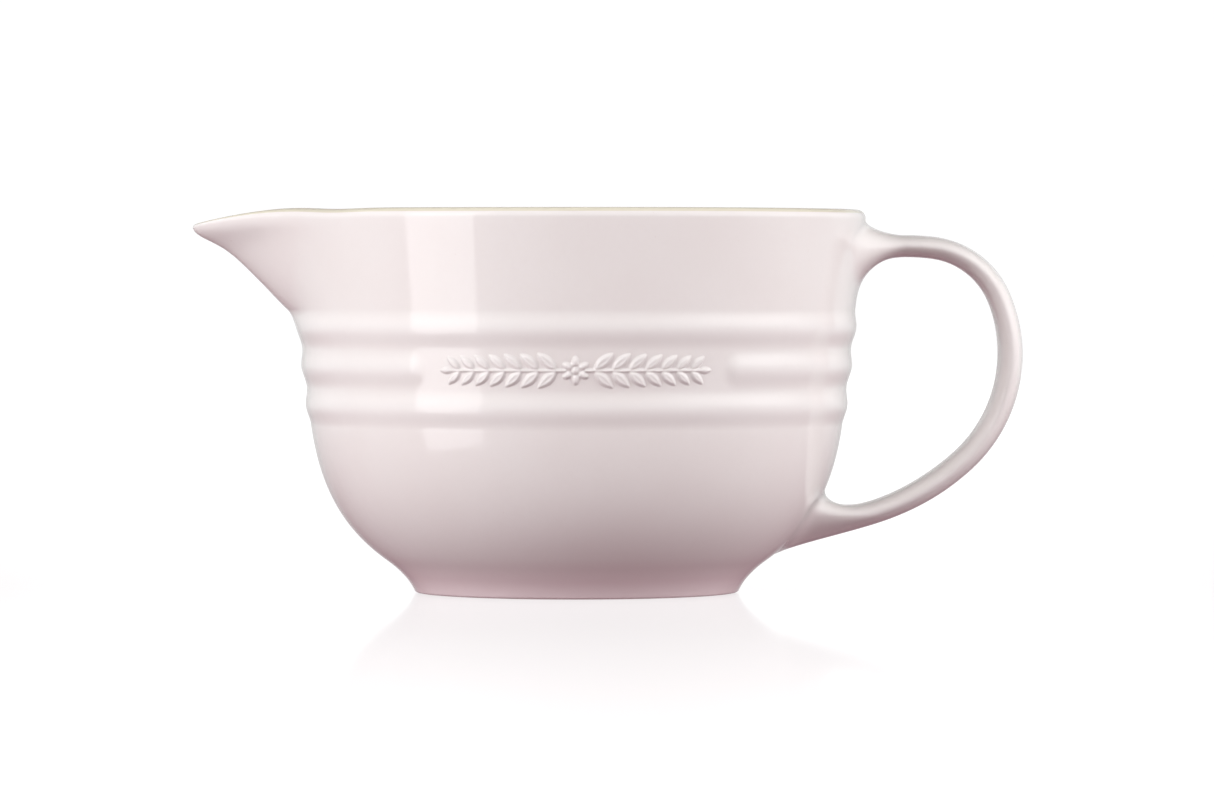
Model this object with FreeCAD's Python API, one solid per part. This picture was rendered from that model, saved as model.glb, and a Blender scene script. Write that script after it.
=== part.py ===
"""Mixing bowl with a pouring spout, a loop handle, three raised bands and a foot ring.

The bowl's axis is Z and the bowl stands on z = 0. The handle points to +X, the spout to -X and the
ornament to -Y. Lengths are in millimetres and angles in degrees.
"""

import FreeCAD, Part
import math
import os

V = FreeCAD.Vector
ORIGIN = V(0, 0, 0)
UP = V(0, 0, 1)
ACROSS = V(0, 1, 0)

# Outside of the clay: radius and height, from the lip down to the foot
RIM_RADIUS = 98.1
RIM_Z = 127.4
WALL_FOOT = (90.05, 56.0)
BELLY_POLES = ((86.9, 35.2), (79.3, 20.8))
BELLY_END = (61.6, 9.2)
FOOT_JOIN = (59.5, 7.0)

# How far the outward direction of the belly's lower points leans below level
LOW_POLE_LEAN = 45.0
BELLY_END_LEAN = 53.0
FOOT_JOIN_LEAN = 24.0

# Inside of the clay
WALL = 5.2
CAVITY_POLES = ((82.2, 35.0), (72.0, 14.6))
FLOOR_EDGE = (34.0, 14.6)

# Raised bands, from the top one down
BAND_HEIGHTS = (90.0, 76.8, 63.6)
BAND_HALF_WIDTH = 5.6
BAND_RELIEF = 1.0
BAND_SINK = 0.4
ORNAMENT_Z = BAND_HEIGHTS[1]
ORNAMENT_GAP_HALF_ANGLE = 35.2

# Foot ring
FOOT_HOLLOW = (55.1, 0.9)
FOOT_WAIST = (57.0, 3.7)
FOOT_EDGE = (54.2, 0.0)
FOOT_INNER_RADIUS = 46.5

# Pouring spout: heights of its sections, each with the reach of the beak beyond the wall
KEEL = (
    (86.0, -1.5), (90.0, -0.3), (93.5, 1.4), (97.6, 4.2), (106.1, 11.5),
    (114.1, 18.7), (118.4, 23.8), (121.4, 29.6), (124.0, 34.6), (134.0, 38.5),
)
SPOUT_REACH = 130.8
BEAK_HALF_ANGLE = 7.5
BEAK_SPREAD = 36.0
BEAK_POINTS = 25
SPOUT_SINK = 1.6
CHANNEL_SINK = 1.2
CHANNEL_NARROWING = 0.95
SPOUT_WALL = 6.6

# Lip line seen from the front, from the tip of the spout to the bowl's rim
LIP_LINE = ((-134.0, 124.4), (-124.4, 127.0), (-112.2, 129.1), (-100.0, 130.3), (-84.0, 130.0))

# Handle: centre line in the XZ plane as tangent arcs, each a radius and a turn
HANDLE_START = (112.0, 118.1)
HANDLE_START_HEADING = 0.5
HANDLE_BENDS = ((70.8, 7.8), (28.0, 59.6), (49.2, 70.6), (82.1, 24.5))
STRAP_HALF_WIDTH = 13.0
STRAP_HALF_THICKNESS = 3.7

# Handle roots as ovals along the root: distance, half width, half height and lift
UPPER_ROOT = (
    (0.0, STRAP_HALF_WIDTH, STRAP_HALF_THICKNESS, 0.0), (6.5, 13.6, 4.1, -0.6), (10.0, 15.6, 5.4, -0.8),
    (12.8, 19.5, 8.2, -0.4), (15.8, 26.5, 12.3, -1.9), (17.8, 31.0, 15.6, -4.6), (23.0, 37.0, 17.0, -6.0),
)
LOWER_ROOT = (
    (0.0, STRAP_HALF_WIDTH, STRAP_HALF_THICKNESS, 0.0), (8.0, 13.6, 3.8, 0.1), (15.0, 15.8, 4.6, 0.9),
    (22.0, 19.5, 6.5, 2.9), (34.0, 19.5, 8.0, 4.5), (46.0, 16.0, 8.0, 4.5),
)

# Ornament: a sprig of paired leaves to each side of a round seed
SPRIG_RELIEF = 1.0
SEED_RADIUS = 4.4
LEAF_PAIRS = 7
LEAF_PITCH_ANGLE = 3.6
FIRST_LEAF_ANGLE = 3.9
LEAF_LENGTH = 7.8
LEAF_WIDTH = 3.2
LEAF_WIDEST = 0.45
LEAF_SPLAY = 41.0
LEAF_SHRINK = 0.03
LEAF_TAIL_LIFT = 0.6
ORNAMENT_OUTSIDE = 118.0
ORNAMENT_DEPTH = 50.0

# Glaze
GLAZE = 0.4
RIM_GLAZE_DEPTH = 1.5
FOOT_GLAZE_Z = 1.5

# Size of the blocks that only serve to cut other shapes
FAR = 400.0


def polar(radius, z, angle):
    turn = math.radians(angle)
    return V(radius * math.cos(turn), radius * math.sin(turn), z)


def flat(point):
    return V(point[0], 0, point[1])


def line(start, end):
    return Part.LineSegment(start, end).toShape()


def arc(start, middle, end):
    return Part.Arc(start, middle, end).toShape()


def bezier(*poles):
    curve = Part.BezierCurve()
    curve.setPoles(list(poles))
    return curve.toShape()


def spline(points):
    curve = Part.BSplineCurve()
    curve.interpolate(points)
    return curve.toShape()


def offset(point, gap, lean):
    """A point of the outline moved outwards by gap, in a direction that leans below level."""
    turn = math.radians(lean)
    return V(point[0] + gap * math.cos(turn), 0, point[1] - gap * math.sin(turn))


def turned(edges):
    """Solid of revolution about Z from a closed outline in the XZ plane."""
    return Part.Face(Part.Wire(edges)).revolve(ORIGIN, UP, 360)


def slab(low, high):
    return Part.makeCylinder(FAR, high - low, V(0, 0, low))


def wall_slope():
    return (RIM_RADIUS - WALL_FOOT[0]) / (RIM_Z - WALL_FOOT[1])


def wall_radius(z):
    """Outer radius of the plain wall between its foot and the rim."""
    return WALL_FOOT[0] + wall_slope() * (z - WALL_FOOT[1])


def outer_edges(gap):
    """Outside of the bowl from the foot's underside up to the rim, gap millimetres outside the clay."""
    foot_edge = offset(FOOT_EDGE, gap, 0)
    foot_hollow = offset(FOOT_HOLLOW, gap, 0)
    foot_waist = offset(FOOT_WAIST, gap, 0)
    foot_join = offset(FOOT_JOIN, gap, FOOT_JOIN_LEAN)
    belly_end = offset(BELLY_END, gap, BELLY_END_LEAN)
    low_pole = offset(BELLY_POLES[1], gap, LOW_POLE_LEAN)
    high_pole = offset(BELLY_POLES[0], gap, 0)
    wall_foot = offset(WALL_FOOT, gap, 0)
    rim = offset((RIM_RADIUS, RIM_Z), gap, 0)
    return [
        line(foot_edge, foot_hollow),
        arc(foot_hollow, foot_waist, foot_join),
        line(foot_join, belly_end),
        bezier(belly_end, low_pole, high_pole, wall_foot),
        line(wall_foot, rim),
    ]


def filled_bowl(gap):
    """The bowl's outside as one full solid that goes on straight up past the rim, without bands."""
    edges = outer_edges(gap)
    bottom = edges[0].Vertexes[0].Point
    top = edges[-1].Vertexes[-1].Point
    raised_top = V(top.x, 0, FAR / 2)
    axis_top = V(0, 0, FAR / 2)
    axis_bottom = V(0, 0, bottom.z)
    closing = [
        line(top, raised_top),
        line(raised_top, axis_top),
        line(axis_top, axis_bottom),
        line(axis_bottom, bottom),
    ]
    return turned(edges + closing)


def open_bowl(gap):
    """The bowl with its cavity and rounded lip, its skin gap millimetres off the clay."""
    edges = outer_edges(gap)
    bottom = edges[0].Vertexes[0].Point
    rim = edges[-1].Vertexes[-1].Point
    half_lip = WALL / 2
    crest = V(RIM_RADIUS - half_lip, 0, RIM_Z + half_lip + gap)
    inner_rim = V(RIM_RADIUS - WALL - gap, 0, RIM_Z)
    cavity_top = V(WALL_FOOT[0] - WALL - gap, 0, WALL_FOOT[1])
    high_pole = V(CAVITY_POLES[0][0] - gap, 0, CAVITY_POLES[0][1])
    low_pole = V(CAVITY_POLES[1][0] - gap, 0, CAVITY_POLES[1][1] + gap)
    floor_edge = V(FLOOR_EDGE[0], 0, FLOOR_EDGE[1] + gap)
    floor_middle = V(0, 0, floor_edge.z)
    inside = [
        arc(rim, crest, inner_rim),
        line(inner_rim, cavity_top),
        bezier(cavity_top, high_pole, low_pole, floor_edge),
        line(floor_edge, floor_middle),
        line(floor_middle, V(0, 0, bottom.z)),
        line(V(0, 0, bottom.z), bottom),
    ]
    return turned(edges + inside)


def band_points(z, gap):
    """Lower foot, crown and upper foot of a band's section, and the wall's normal there."""
    lean = math.atan(wall_slope())
    along = V(math.sin(lean), 0, math.cos(lean))
    normal = V(math.cos(lean), 0, -math.sin(lean))
    centre = V(wall_radius(z), 0, z)
    half = BAND_HALF_WIDTH + gap
    low = centre - along * half - normal * BAND_SINK
    crown = centre + normal * (BAND_RELIEF + gap)
    high = centre + along * half - normal * BAND_SINK
    return low, crown, high, normal


def full_band(z, gap):
    low, crown, high, normal = band_points(z, gap)
    return turned([arc(low, crown, high), line(high, low)])


def ornament_band(z, gap):
    """The middle band, which stops in a rounded end on each side of the ornament."""
    low, crown, high, normal = band_points(z, gap)
    section = Part.Face(Part.Wire([arc(low, crown, high), line(high, low)]))
    section.rotate(ORIGIN, UP, -90 + ORNAMENT_GAP_HALF_ANGLE)
    band = section.revolve(ORIGIN, UP, 360 - 2 * ORNAMENT_GAP_HALF_ANGLE)
    middle = (low + high) * 0.5
    radius = (high - low).Length / 2
    rise = (crown - middle).Length
    ball_radius = (radius * radius + rise * rise) / (2 * rise)
    ball = Part.makeSphere(ball_radius, crown - normal * ball_radius)
    cap = ball.common(Part.makeCylinder(radius, rise * 2, middle, normal))
    for angle in (-90 - ORNAMENT_GAP_HALF_ANGLE, -90 + ORNAMENT_GAP_HALF_ANGLE):
        end = cap.copy()
        end.rotate(ORIGIN, UP, angle)
        band = band.fuse(end)
    return band


def bands(gap):
    top, middle, bottom = BAND_HEIGHTS
    return [full_band(top, gap), ornament_band(middle, gap), full_band(bottom, gap)]


def beak(angle, half_angle):
    """Share of the spout's reach at an angle from its middle, 1 at the tip."""
    return 1 / math.cosh(angle / half_angle)


def beak_section(z, base_radius, sink, reach, half_angle):
    """Outline of the spout at one height: the beak's curve and a chord across the bowl."""
    points = []
    for step in range(BEAK_POINTS):
        angle = BEAK_SPREAD * (2 * step / (BEAK_POINTS - 1) - 1)
        radius = base_radius - sink + (reach + sink) * beak(angle, half_angle)
        points.append(polar(radius, z, 180 + angle))
    return Part.Wire([spline(points), line(points[-1], points[0])])


def below_lip(lift):
    """Everything under the lip line, raised by lift."""
    points = [V(x, -FAR / 2, z + lift) for x, z in LIP_LINE]
    rim_end = V(FAR / 2, -FAR / 2, LIP_LINE[-1][1] + lift)
    floor_end = V(FAR / 2, -FAR / 2, -1)
    floor_start = V(points[0].x, -FAR / 2, -1)
    edges = [
        spline(points),
        line(points[-1], rim_end),
        line(rim_end, floor_end),
        line(floor_end, floor_start),
        line(floor_start, points[0]),
    ]
    return Part.Face(Part.Wire(edges)).extrude(V(0, FAR, 0))


def spout_outside(gap):
    """The spout's outside as one full solid, closed across the bowl."""
    sections = []
    for z, reach in KEEL:
        base_radius = wall_radius(z) + gap
        sections.append(beak_section(z, base_radius, SPOUT_SINK, reach, BEAK_HALF_ANGLE))
    body = Part.makeLoft(sections, True, False)
    rim_radius = wall_radius(RIM_Z) + gap
    plan = beak_section(0, rim_radius, SPOUT_SINK, SPOUT_REACH - wall_radius(RIM_Z), BEAK_HALF_ANGLE)
    prism = Part.Face(plan).extrude(V(0, 0, FAR))
    return body.common(prism).common(below_lip(gap))


def spout_channel(gap):
    """The hollow of the spout, which runs through the wall, gap millimetres inside the clay."""
    sections = []
    for z, reach in KEEL:
        depth = reach - SPOUT_WALL + WALL
        base_radius = wall_radius(z) - WALL - gap
        half_angle = BEAK_HALF_ANGLE * CHANNEL_NARROWING
        sections.append(beak_section(z, base_radius, CHANNEL_SINK, depth, half_angle))
    return Part.makeLoft(sections, True, False)


def heading_vectors(heading):
    """Direction of the handle's centre line and the direction across its thickness."""
    turn = math.radians(heading)
    return V(math.cos(turn), 0, math.sin(turn)), V(-math.sin(turn), 0, math.cos(turn))


def oval(centre, heading, half_width, half_height):
    along, across = heading_vectors(heading)
    curve = Part.Ellipse(centre + ACROSS * half_width, centre + across * half_height, centre)
    return Part.Wire(curve.toShape())


def handle_strap(gap):
    """The loop as a chain of bends, with the place and heading of its lower end."""
    place = flat(HANDLE_START)
    heading = HANDLE_START_HEADING
    pieces = []
    for radius, turn in HANDLE_BENDS:
        along, across = heading_vectors(heading)
        section = Part.Face(oval(place, heading, STRAP_HALF_WIDTH + gap, STRAP_HALF_THICKNESS + gap))
        centre = place - across * radius
        pieces.append(section.revolve(centre, ACROSS, turn))
        heading -= turn
        along, across = heading_vectors(heading)
        place = centre + across * radius
    strap = pieces[0].fuse(pieces[1:]).removeSplitter()
    return strap, place, heading


def handle_root(ovals, start, heading, gap):
    """A flared root that runs on from the strap's end into the wall."""
    along, across = heading_vectors(heading)
    sections = []
    for distance, half_width, half_height, lift in ovals:
        centre = start + along * distance + V(0, 0, lift)
        sections.append(oval(centre, heading, half_width + gap, half_height + gap))
    return Part.makeLoft(sections, True, False)


def handle_parts(gap):
    """Strap, upper root and lower root, the roots still reaching into the wall."""
    strap, lower_end, lower_heading = handle_strap(gap)
    upper = handle_root(UPPER_ROOT, flat(HANDLE_START), HANDLE_START_HEADING + 180, gap)
    lower = handle_root(LOWER_ROOT, lower_end, lower_heading, gap)
    return strap, upper, lower


def leaf(side, row, azimuth, tilt):
    """One leaf as a prism: side is left or right of the seed, tilt is up or down."""
    scale = 1 - LEAF_SHRINK * row
    half_width = LEAF_WIDTH * scale / 2
    length = LEAF_LENGTH * scale
    tail = V(0, -ORNAMENT_OUTSIDE, 0)
    tip = V(length, -ORNAMENT_OUTSIDE, 0)
    upper_edge = V(length * LEAF_WIDEST, -ORNAMENT_OUTSIDE, half_width)
    lower_edge = V(length * LEAF_WIDEST, -ORNAMENT_OUTSIDE, -half_width)
    outline = Part.Wire([arc(tail, upper_edge, tip), arc(tip, lower_edge, tail)])
    prism = Part.Face(outline).extrude(V(0, ORNAMENT_DEPTH, 0))
    prism.rotate(tail, -ACROSS, LEAF_SPLAY)
    prism.translate(V(0, 0, LEAF_TAIL_LIFT))
    if tilt < 0:
        prism = prism.mirror(ORIGIN, UP)
    if side < 0:
        prism = prism.mirror(ORIGIN, V(1, 0, 0))
    prism.translate(V(0, 0, ORNAMENT_Z))
    prism.rotate(ORIGIN, UP, side * azimuth)
    return prism


def ornament():
    """Two sprigs of paired leaves on a stem, which meet at a round seed in the front's middle."""
    seed_middle = V(0, -ORNAMENT_OUTSIDE, ORNAMENT_Z)
    pieces = [Part.makeCylinder(SEED_RADIUS, ORNAMENT_DEPTH, seed_middle, ACROSS)]
    for row in range(LEAF_PAIRS):
        azimuth = FIRST_LEAF_ANGLE + row * LEAF_PITCH_ANGLE
        for side in (-1, 1):
            pieces.append(leaf(side, row, azimuth, 1))
            pieces.append(leaf(side, row, azimuth, -1))
    raised = filled_bowl(SPRIG_RELIEF).cut(filled_bowl(0))
    return raised.common(Part.makeCompound(pieces))


def save(name, shape):
    solids = shape.Solids
    result = solids[0] if len(solids) == 1 else Part.makeCompound(solids)
    result.exportStep("parts/" + name + ".step")
    print(name, len(solids), result.isValid(), round(result.Volume), result.optimalBoundingBox())


def save_clay(bowl, spout, strap, upper, lower):
    """The fired clay: bowl, foot ring, spout, handle strap and the handle's two roots."""
    full_bowl = filled_bowl(0)
    foot_hole = Part.makeCylinder(FOOT_INNER_RADIUS, FOOT_JOIN[1])
    save("bowl_body", bowl.common(slab(FOOT_JOIN[1], FAR)))
    save("foot_ring", bowl.common(slab(0, FOOT_JOIN[1])).cut(foot_hole))
    save("pouring_spout", spout.cut([full_bowl, bowl]))
    save("handle_strap", strap)
    save("handle_upper_joint", upper.cut([full_bowl, bowl]))
    save("handle_lower_joint", lower.cut([full_bowl, bowl]))


def save_bowl_glaze(clay, glazed_bowl, covered):
    """Glaze on the bowl and spout, without the places that are covered by other parts."""
    glazed = glazed_bowl.fuse(spout_outside(GLAZE)).cut(spout_channel(GLAZE))
    coat = glazed.cut(clay).common(slab(FOOT_GLAZE_Z, FAR))
    under_rim = below_lip(GLAZE - RIM_GLAZE_DEPTH)
    skins = coat.common(under_rim).Solids
    inside, outside = sorted(skins, key=lambda skin: skin.BoundBox.ZMin, reverse=True)
    save("rim_glaze", coat.cut(under_rim))
    save("interior_glaze", inside)
    save("exterior_glaze", outside.cut(covered))


def save_handle_glaze(clay, glazed_bowl):
    strap, upper, lower = handle_parts(GLAZE)
    handle = strap.fuse([upper, lower])
    save("handle_glaze", handle.cut(clay + [filled_bowl(GLAZE), glazed_bowl]))


def main():
    os.makedirs("parts", exist_ok=True)
    channel = spout_channel(0)
    bowl = open_bowl(0).fuse(bands(0)).cut(channel)
    spout = spout_outside(0).cut(channel)
    strap, upper, lower = handle_parts(0)
    sprigs = ornament()
    glazed_bowl = open_bowl(GLAZE).fuse(bands(GLAZE))
    save_clay(bowl, spout, strap, upper, lower)
    save("relief_ornament", sprigs)
    save_bowl_glaze(bowl.fuse(spout), glazed_bowl, [upper, lower, sprigs])
    save_handle_glaze([strap, upper, lower], glazed_bowl)
    save("base_glaze", Part.makeCylinder(FOOT_INNER_RADIUS, GLAZE, V(0, 0, FOOT_JOIN[1] - GLAZE)))


main()
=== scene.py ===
import math

import bpy
import numpy as np
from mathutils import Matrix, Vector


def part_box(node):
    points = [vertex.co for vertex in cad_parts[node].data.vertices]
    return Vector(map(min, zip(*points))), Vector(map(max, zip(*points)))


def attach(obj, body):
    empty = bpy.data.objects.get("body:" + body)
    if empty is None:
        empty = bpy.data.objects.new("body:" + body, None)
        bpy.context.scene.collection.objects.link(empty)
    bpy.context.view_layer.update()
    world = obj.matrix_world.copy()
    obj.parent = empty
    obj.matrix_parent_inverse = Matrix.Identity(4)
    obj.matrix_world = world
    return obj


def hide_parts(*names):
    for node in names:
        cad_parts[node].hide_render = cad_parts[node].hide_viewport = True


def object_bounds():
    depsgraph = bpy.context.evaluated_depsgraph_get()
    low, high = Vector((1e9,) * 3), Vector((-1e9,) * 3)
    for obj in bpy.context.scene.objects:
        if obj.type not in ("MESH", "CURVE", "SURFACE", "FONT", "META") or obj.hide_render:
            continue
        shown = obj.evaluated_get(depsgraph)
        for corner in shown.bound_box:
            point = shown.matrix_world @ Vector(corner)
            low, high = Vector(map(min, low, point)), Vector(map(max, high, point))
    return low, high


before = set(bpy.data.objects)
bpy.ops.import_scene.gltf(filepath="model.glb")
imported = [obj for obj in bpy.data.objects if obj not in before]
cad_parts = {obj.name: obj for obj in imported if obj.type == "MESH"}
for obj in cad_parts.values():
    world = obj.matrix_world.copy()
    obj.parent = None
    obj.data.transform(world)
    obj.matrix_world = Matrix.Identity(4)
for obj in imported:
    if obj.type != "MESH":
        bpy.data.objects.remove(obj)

CAD_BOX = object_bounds()
MM = 1000.0
CAD_LOW = np.array(CAD_BOX[0]) * MM
CAD_HIGH = np.array(CAD_BOX[1]) * MM


def node_box(name):
    low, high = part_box(name)
    return np.array(low) * MM, np.array(high) * MM


# ---------------------------------------------------------------- driving dimensions
# compass angles round the bowl's axis
FRONT = 270.0
SPOUT_SIDE = 180.0
HANDLE_SIDE = 0.0

# sizes that follow the frame
GLAZE = 0.4
CLAY_GAP = 0.42
RIM_RADIUS = node_box("bowl_body")[1][0] + GLAZE
RIM_CREST = node_box("bowl_body")[1][2] + GLAZE
FOOT_TOP = node_box("foot_ring")[1][2]
FOOT_TOP_RADIUS = node_box("foot_ring")[1][0] + GLAZE
BASE_RADIUS = node_box("base_glaze")[1][0]
ORNAMENT_Z = (node_box("relief_ornament")[0][2] + node_box("relief_ornament")[1][2]) / 2

# outside of the wall; every point in a profile is a radius and a height
LIP_HEIGHT = 3.0
LIP_THICKNESS = 5.9
RIM_SHOULDER = RIM_CREST - LIP_HEIGHT
WALL_FOOT = (90.45, 56.0)
BELLY = ((62.0, 9.1), (79.6, 20.6), (87.25, 35.2), WALL_FOOT)
FOOT_CURVE = ((55.35, 0.75), (57.2, 3.9), (FOOT_TOP_RADIUS, FOOT_TOP))
FOOT_WRAP = ((54.3, 0.12), (54.8, 0.24), (55.15, 0.45))

# raised bands; the middle one ends in a nose on each side, this many degrees from the front
BAND_PITCH = 13.2
BAND_REACH = 6.7
BAND_RELIEF = 1.05
BAND_ZONE = (56.0, 97.4)
NOSE_ANGLE = 35.4

# pouring spout: how far its keel stands out from the wall at each height, and how thick it is there
KEEL = np.array([
    (87.5, 0.0), (90.0, 0.25), (92.8, 1.3), (95.5, 2.9), (97.6, 4.8), (106.1, 12.0),
    (114.1, 19.3), (117.2, 23.0), (119.4, 26.7), (121.4, 30.4), (123.1, 32.3), (124.3, 32.8),
])
KEEL_WALL = np.array([(87.5, 5.7), (100.0, 4.8), (114.0, 4.2), (121.0, 3.4), (124.3, 3.7)])
SPOUT_SHOULDER = KEEL[-1][0]
SPOUT_START = 97.4
BEAK_ANGLE = 7.5
CHANNEL_ANGLE = BEAK_ANGLE * 0.95
SPOUT_LIP_HEIGHT = 1.6
# the lip drops at the spout's tip, and has a low swell and then a shallow dip beside the spout
TIP_DROP = 4.6
TIP_DROP_POWER = 1.6
LIP_SWELL = 0.6
LIP_DIP = 0.45
LIP_DIP_ANGLE = 34.0
LIP_DIP_REACH = 9.0
LIP_WANDER = 0.05
LIP_WANDER_SEED = 3

# inside: the wall's line bends off towards the floor from this height
CAVITY_TURN = 35.0
CAVITY_FLOOR = ((72.0, 15.0), (34.0, 15.0))
FLOOR_RINGS = (24.0, 14.0, 5.0, 0.0)

# centre line of the strap: where it leaves the upper root, its heading, then arcs as radius and turn
HANDLE_START = (112.0, 118.0)
HANDLE_START_HEADING = 0.5
HANDLE_BENDS = ((70.8, 7.8), (28.0, 59.6), (49.2, 70.6), (82.1, 24.5))


# ---------------------------------------------------------------- small helpers
def smoothstep(t):
    t = np.clip(t, 0.0, 1.0)
    return t * t * (3 - 2 * t)


def monotone_curve(points, at):
    """Smooth interpolation through points that never overshoots them."""
    x, y = points[:, 0], points[:, 1]
    slope = np.diff(y) / np.diff(x)
    tangent = np.zeros(len(x))
    product = slope[:-1] * slope[1:]
    total = np.where(product > 0, slope[:-1] + slope[1:], 1.0)
    tangent[1:-1] = np.where(product > 0, 2 * product / total, 0.0)
    at = np.clip(at, x[0], x[-1])
    cell = np.clip(np.searchsorted(x, at, side="right") - 1, 0, len(x) - 2)
    width = x[cell + 1] - x[cell]
    t = (at - x[cell]) / width
    rise = (2 * t**3 - 3 * t**2 + 1) * y[cell] + (3 * t**2 - 2 * t**3) * y[cell + 1]
    lean = (t**3 - 2 * t**2 + t) * tangent[cell] + (t**3 - t**2) * tangent[cell + 1]
    return rise + lean * width


def angle_from(angle, middle):
    """Angle between two compass directions, from 0 to 180."""
    return np.abs((np.asarray(angle) - middle + 180.0) % 360.0 - 180.0)


def bezier(points, count):
    t = np.linspace(0, 1, count)[:, None]
    a, b, c, d = (np.array(p) for p in points)
    return (1 - t) ** 3 * a + 3 * (1 - t) ** 2 * t * b + 3 * (1 - t) * t**2 * c + t**3 * d


def three_point_curve(points, count):
    """Quadratic curve that passes through three points."""
    t = np.linspace(0, 1, count)[:, None]
    a, b, c = (np.array(p) for p in points)
    return (1 - t) * (1 - 2 * t) * a + 4 * t * (1 - t) * b + t * (2 * t - 1) * c


def wave(angle, seed, count=7):
    """Slow periodic wander of about plus or minus one round the bowl, angle in degrees."""
    rng = np.random.default_rng(seed)
    total = np.zeros_like(angle)
    for order in range(1, count + 1):
        phase = rng.uniform(0, 2 * math.pi)
        total += np.sin(np.radians(angle) * order + phase) / order
    return total / 1.6


def grid_normals(grid, closed):
    """Unit normals of a grid of points, rows up and columns round."""
    along = np.gradient(grid, axis=0)
    if closed:
        round_it = np.roll(grid, -1, axis=1) - np.roll(grid, 1, axis=1)
    else:
        round_it = np.gradient(grid, axis=1)
    normal = np.cross(round_it, along)
    length = np.linalg.norm(normal, axis=2, keepdims=True)
    return normal / np.maximum(length, 1e-12)


def smooth_rows(profile, low, high, passes):
    """Rounds the corners of a profile between two heights."""
    profile = profile.copy()
    inside = (profile[:, 1] > low) & (profile[:, 1] < high)
    inside[[0, -1]] = False
    for _ in range(passes):
        middle = profile.copy()
        middle[1:-1] = (profile[:-2] + 2 * profile[1:-1] + profile[2:]) / 4
        profile[inside] = middle[inside]
    return profile


# ---------------------------------------------------------------- the vessel as a surface
# rows of points up the outside, over the lip and down the inside, and columns round
FOOT_ROWS = 10
BELLY_ROWS = 40
BAND_ROWS = 72
UPPER_ROWS = 38
LIP_ROWS = 27
INNER_WALL_ROWS = 56
CAVITY_ROWS = 34
COLUMNS = 336
# heights between which the corner from the foot to the belly is rounded
FOOT_BLEND = (5.0, 14.0)
FOOT_BLEND_PASSES = 2
# columns stand closer at the spout and at the noses: how much, and over what angle
SPOUT_DENSITY = 1.4
SPOUT_DENSITY_ANGLE = 24
NOSE_DENSITY = 1.0
NOSE_DENSITY_ANGLE = 5
NOSE_DENSITY_CENTRE = 35


def wall_radius(z):
    slope = (RIM_RADIUS - WALL_FOOT[0]) / (RIM_SHOULDER - WALL_FOOT[1])
    return WALL_FOOT[0] + slope * (z - WALL_FOOT[1])


def spout_share(angle, half_angle):
    """Share of the spout's reach at a compass angle round the bowl, 1 at the spout's middle."""
    return 1 / np.cosh(angle_from(angle, SPOUT_SIDE) / half_angle)


def lip_crest(angle):
    share = spout_share(angle, BEAK_ANGLE)
    tip_drop = TIP_DROP * share**TIP_DROP_POWER
    swell = LIP_SWELL * np.sin(np.pi * np.sqrt(share))
    beside = (angle_from(angle, SPOUT_SIDE) - LIP_DIP_ANGLE) / LIP_DIP_REACH
    dip = LIP_DIP * np.exp(-(beside**2))
    return RIM_CREST + LIP_WANDER * wave(angle, LIP_WANDER_SEED) + swell - dip - tip_drop


def lip_height(angle):
    share = spout_share(angle, BEAK_ANGLE)
    return LIP_HEIGHT + (SPOUT_LIP_HEIGHT - LIP_HEIGHT) * smoothstep(share)


def lip_shoulder(angle):
    return lip_crest(angle) - lip_height(angle)


def raised_height(level, angle):
    """True height of a point that would be at this level if it were at the spout's tip."""
    lift = smoothstep((level - SPOUT_START) / (SPOUT_SHOULDER - SPOUT_START)) ** 0.9
    return level + (lip_shoulder(angle) - SPOUT_SHOULDER) * lift


def band_relief(z, angle):
    """Height of the three rounded bands. The middle one ends in a round nose beside the ornament."""
    relief = np.zeros(np.broadcast(z, angle).shape)
    past_nose = np.maximum(NOSE_ANGLE - angle_from(angle, FRONT), 0.0)
    nose = np.radians(past_nose) * wall_radius(ORNAMENT_Z)
    for step, past_end in ((1, 0.0), (0, nose), (-1, 0.0)):
        off = np.hypot(z - (ORNAMENT_Z + step * BAND_PITCH), past_end)
        relief += BAND_RELIEF * (1 + np.cos(np.pi * np.minimum(off / BAND_REACH, 1.0))) / 2
    return relief


def outer_points(base, angles):
    """Outside surface: base holds radius and level for each row, angles the columns."""
    level = base[:, 1][:, None]
    angle = angles[None, :]
    z = raised_height(level, angle)
    upper = level > WALL_FOOT[1]
    radius = np.where(upper, wall_radius(z), base[:, 0][:, None])
    radius = radius + band_relief(z, angle)
    radius = radius + monotone_curve(KEEL, level) * spout_share(angle, BEAK_ANGLE)
    return radius, z


def channel_reach(level):
    """How far the hollow of the spout stands out from the inside of the wall."""
    fine = np.linspace(KEEL[0, 0], KEEL[-1, 0], 240)
    outside = np.column_stack([wall_radius(fine) + monotone_curve(KEEL, fine), fine])
    along = np.gradient(outside, axis=0)
    along /= np.linalg.norm(along, axis=1, keepdims=True)
    thick = monotone_curve(KEEL_WALL, fine)[:, None]
    inside = outside + thick * np.column_stack([-along[:, 1], along[:, 0]])
    reach = inside[:, 0] - (wall_radius(inside[:, 1]) - LIP_THICKNESS)
    order = np.argsort(inside[:, 1])
    return np.maximum(np.interp(level, inside[order, 1], reach[order]), 0.0)


def inner_points(base, angles):
    """Inside surface, from the same rows seen from within."""
    level = base[:, 1][:, None]
    angle = angles[None, :]
    z = raised_height(level, angle)
    upper = level > WALL_FOOT[1]
    radius = np.where(upper, wall_radius(z) - LIP_THICKNESS, base[:, 0][:, None])
    radius = radius + channel_reach(level) * spout_share(angle, CHANNEL_ANGLE)
    return radius, z


def to_xyz(radius, z, angles):
    turn = np.radians(angles)[None, :]
    return np.stack([radius * np.cos(turn), radius * np.sin(turn), np.broadcast_to(z, radius.shape)], axis=2)


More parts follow.
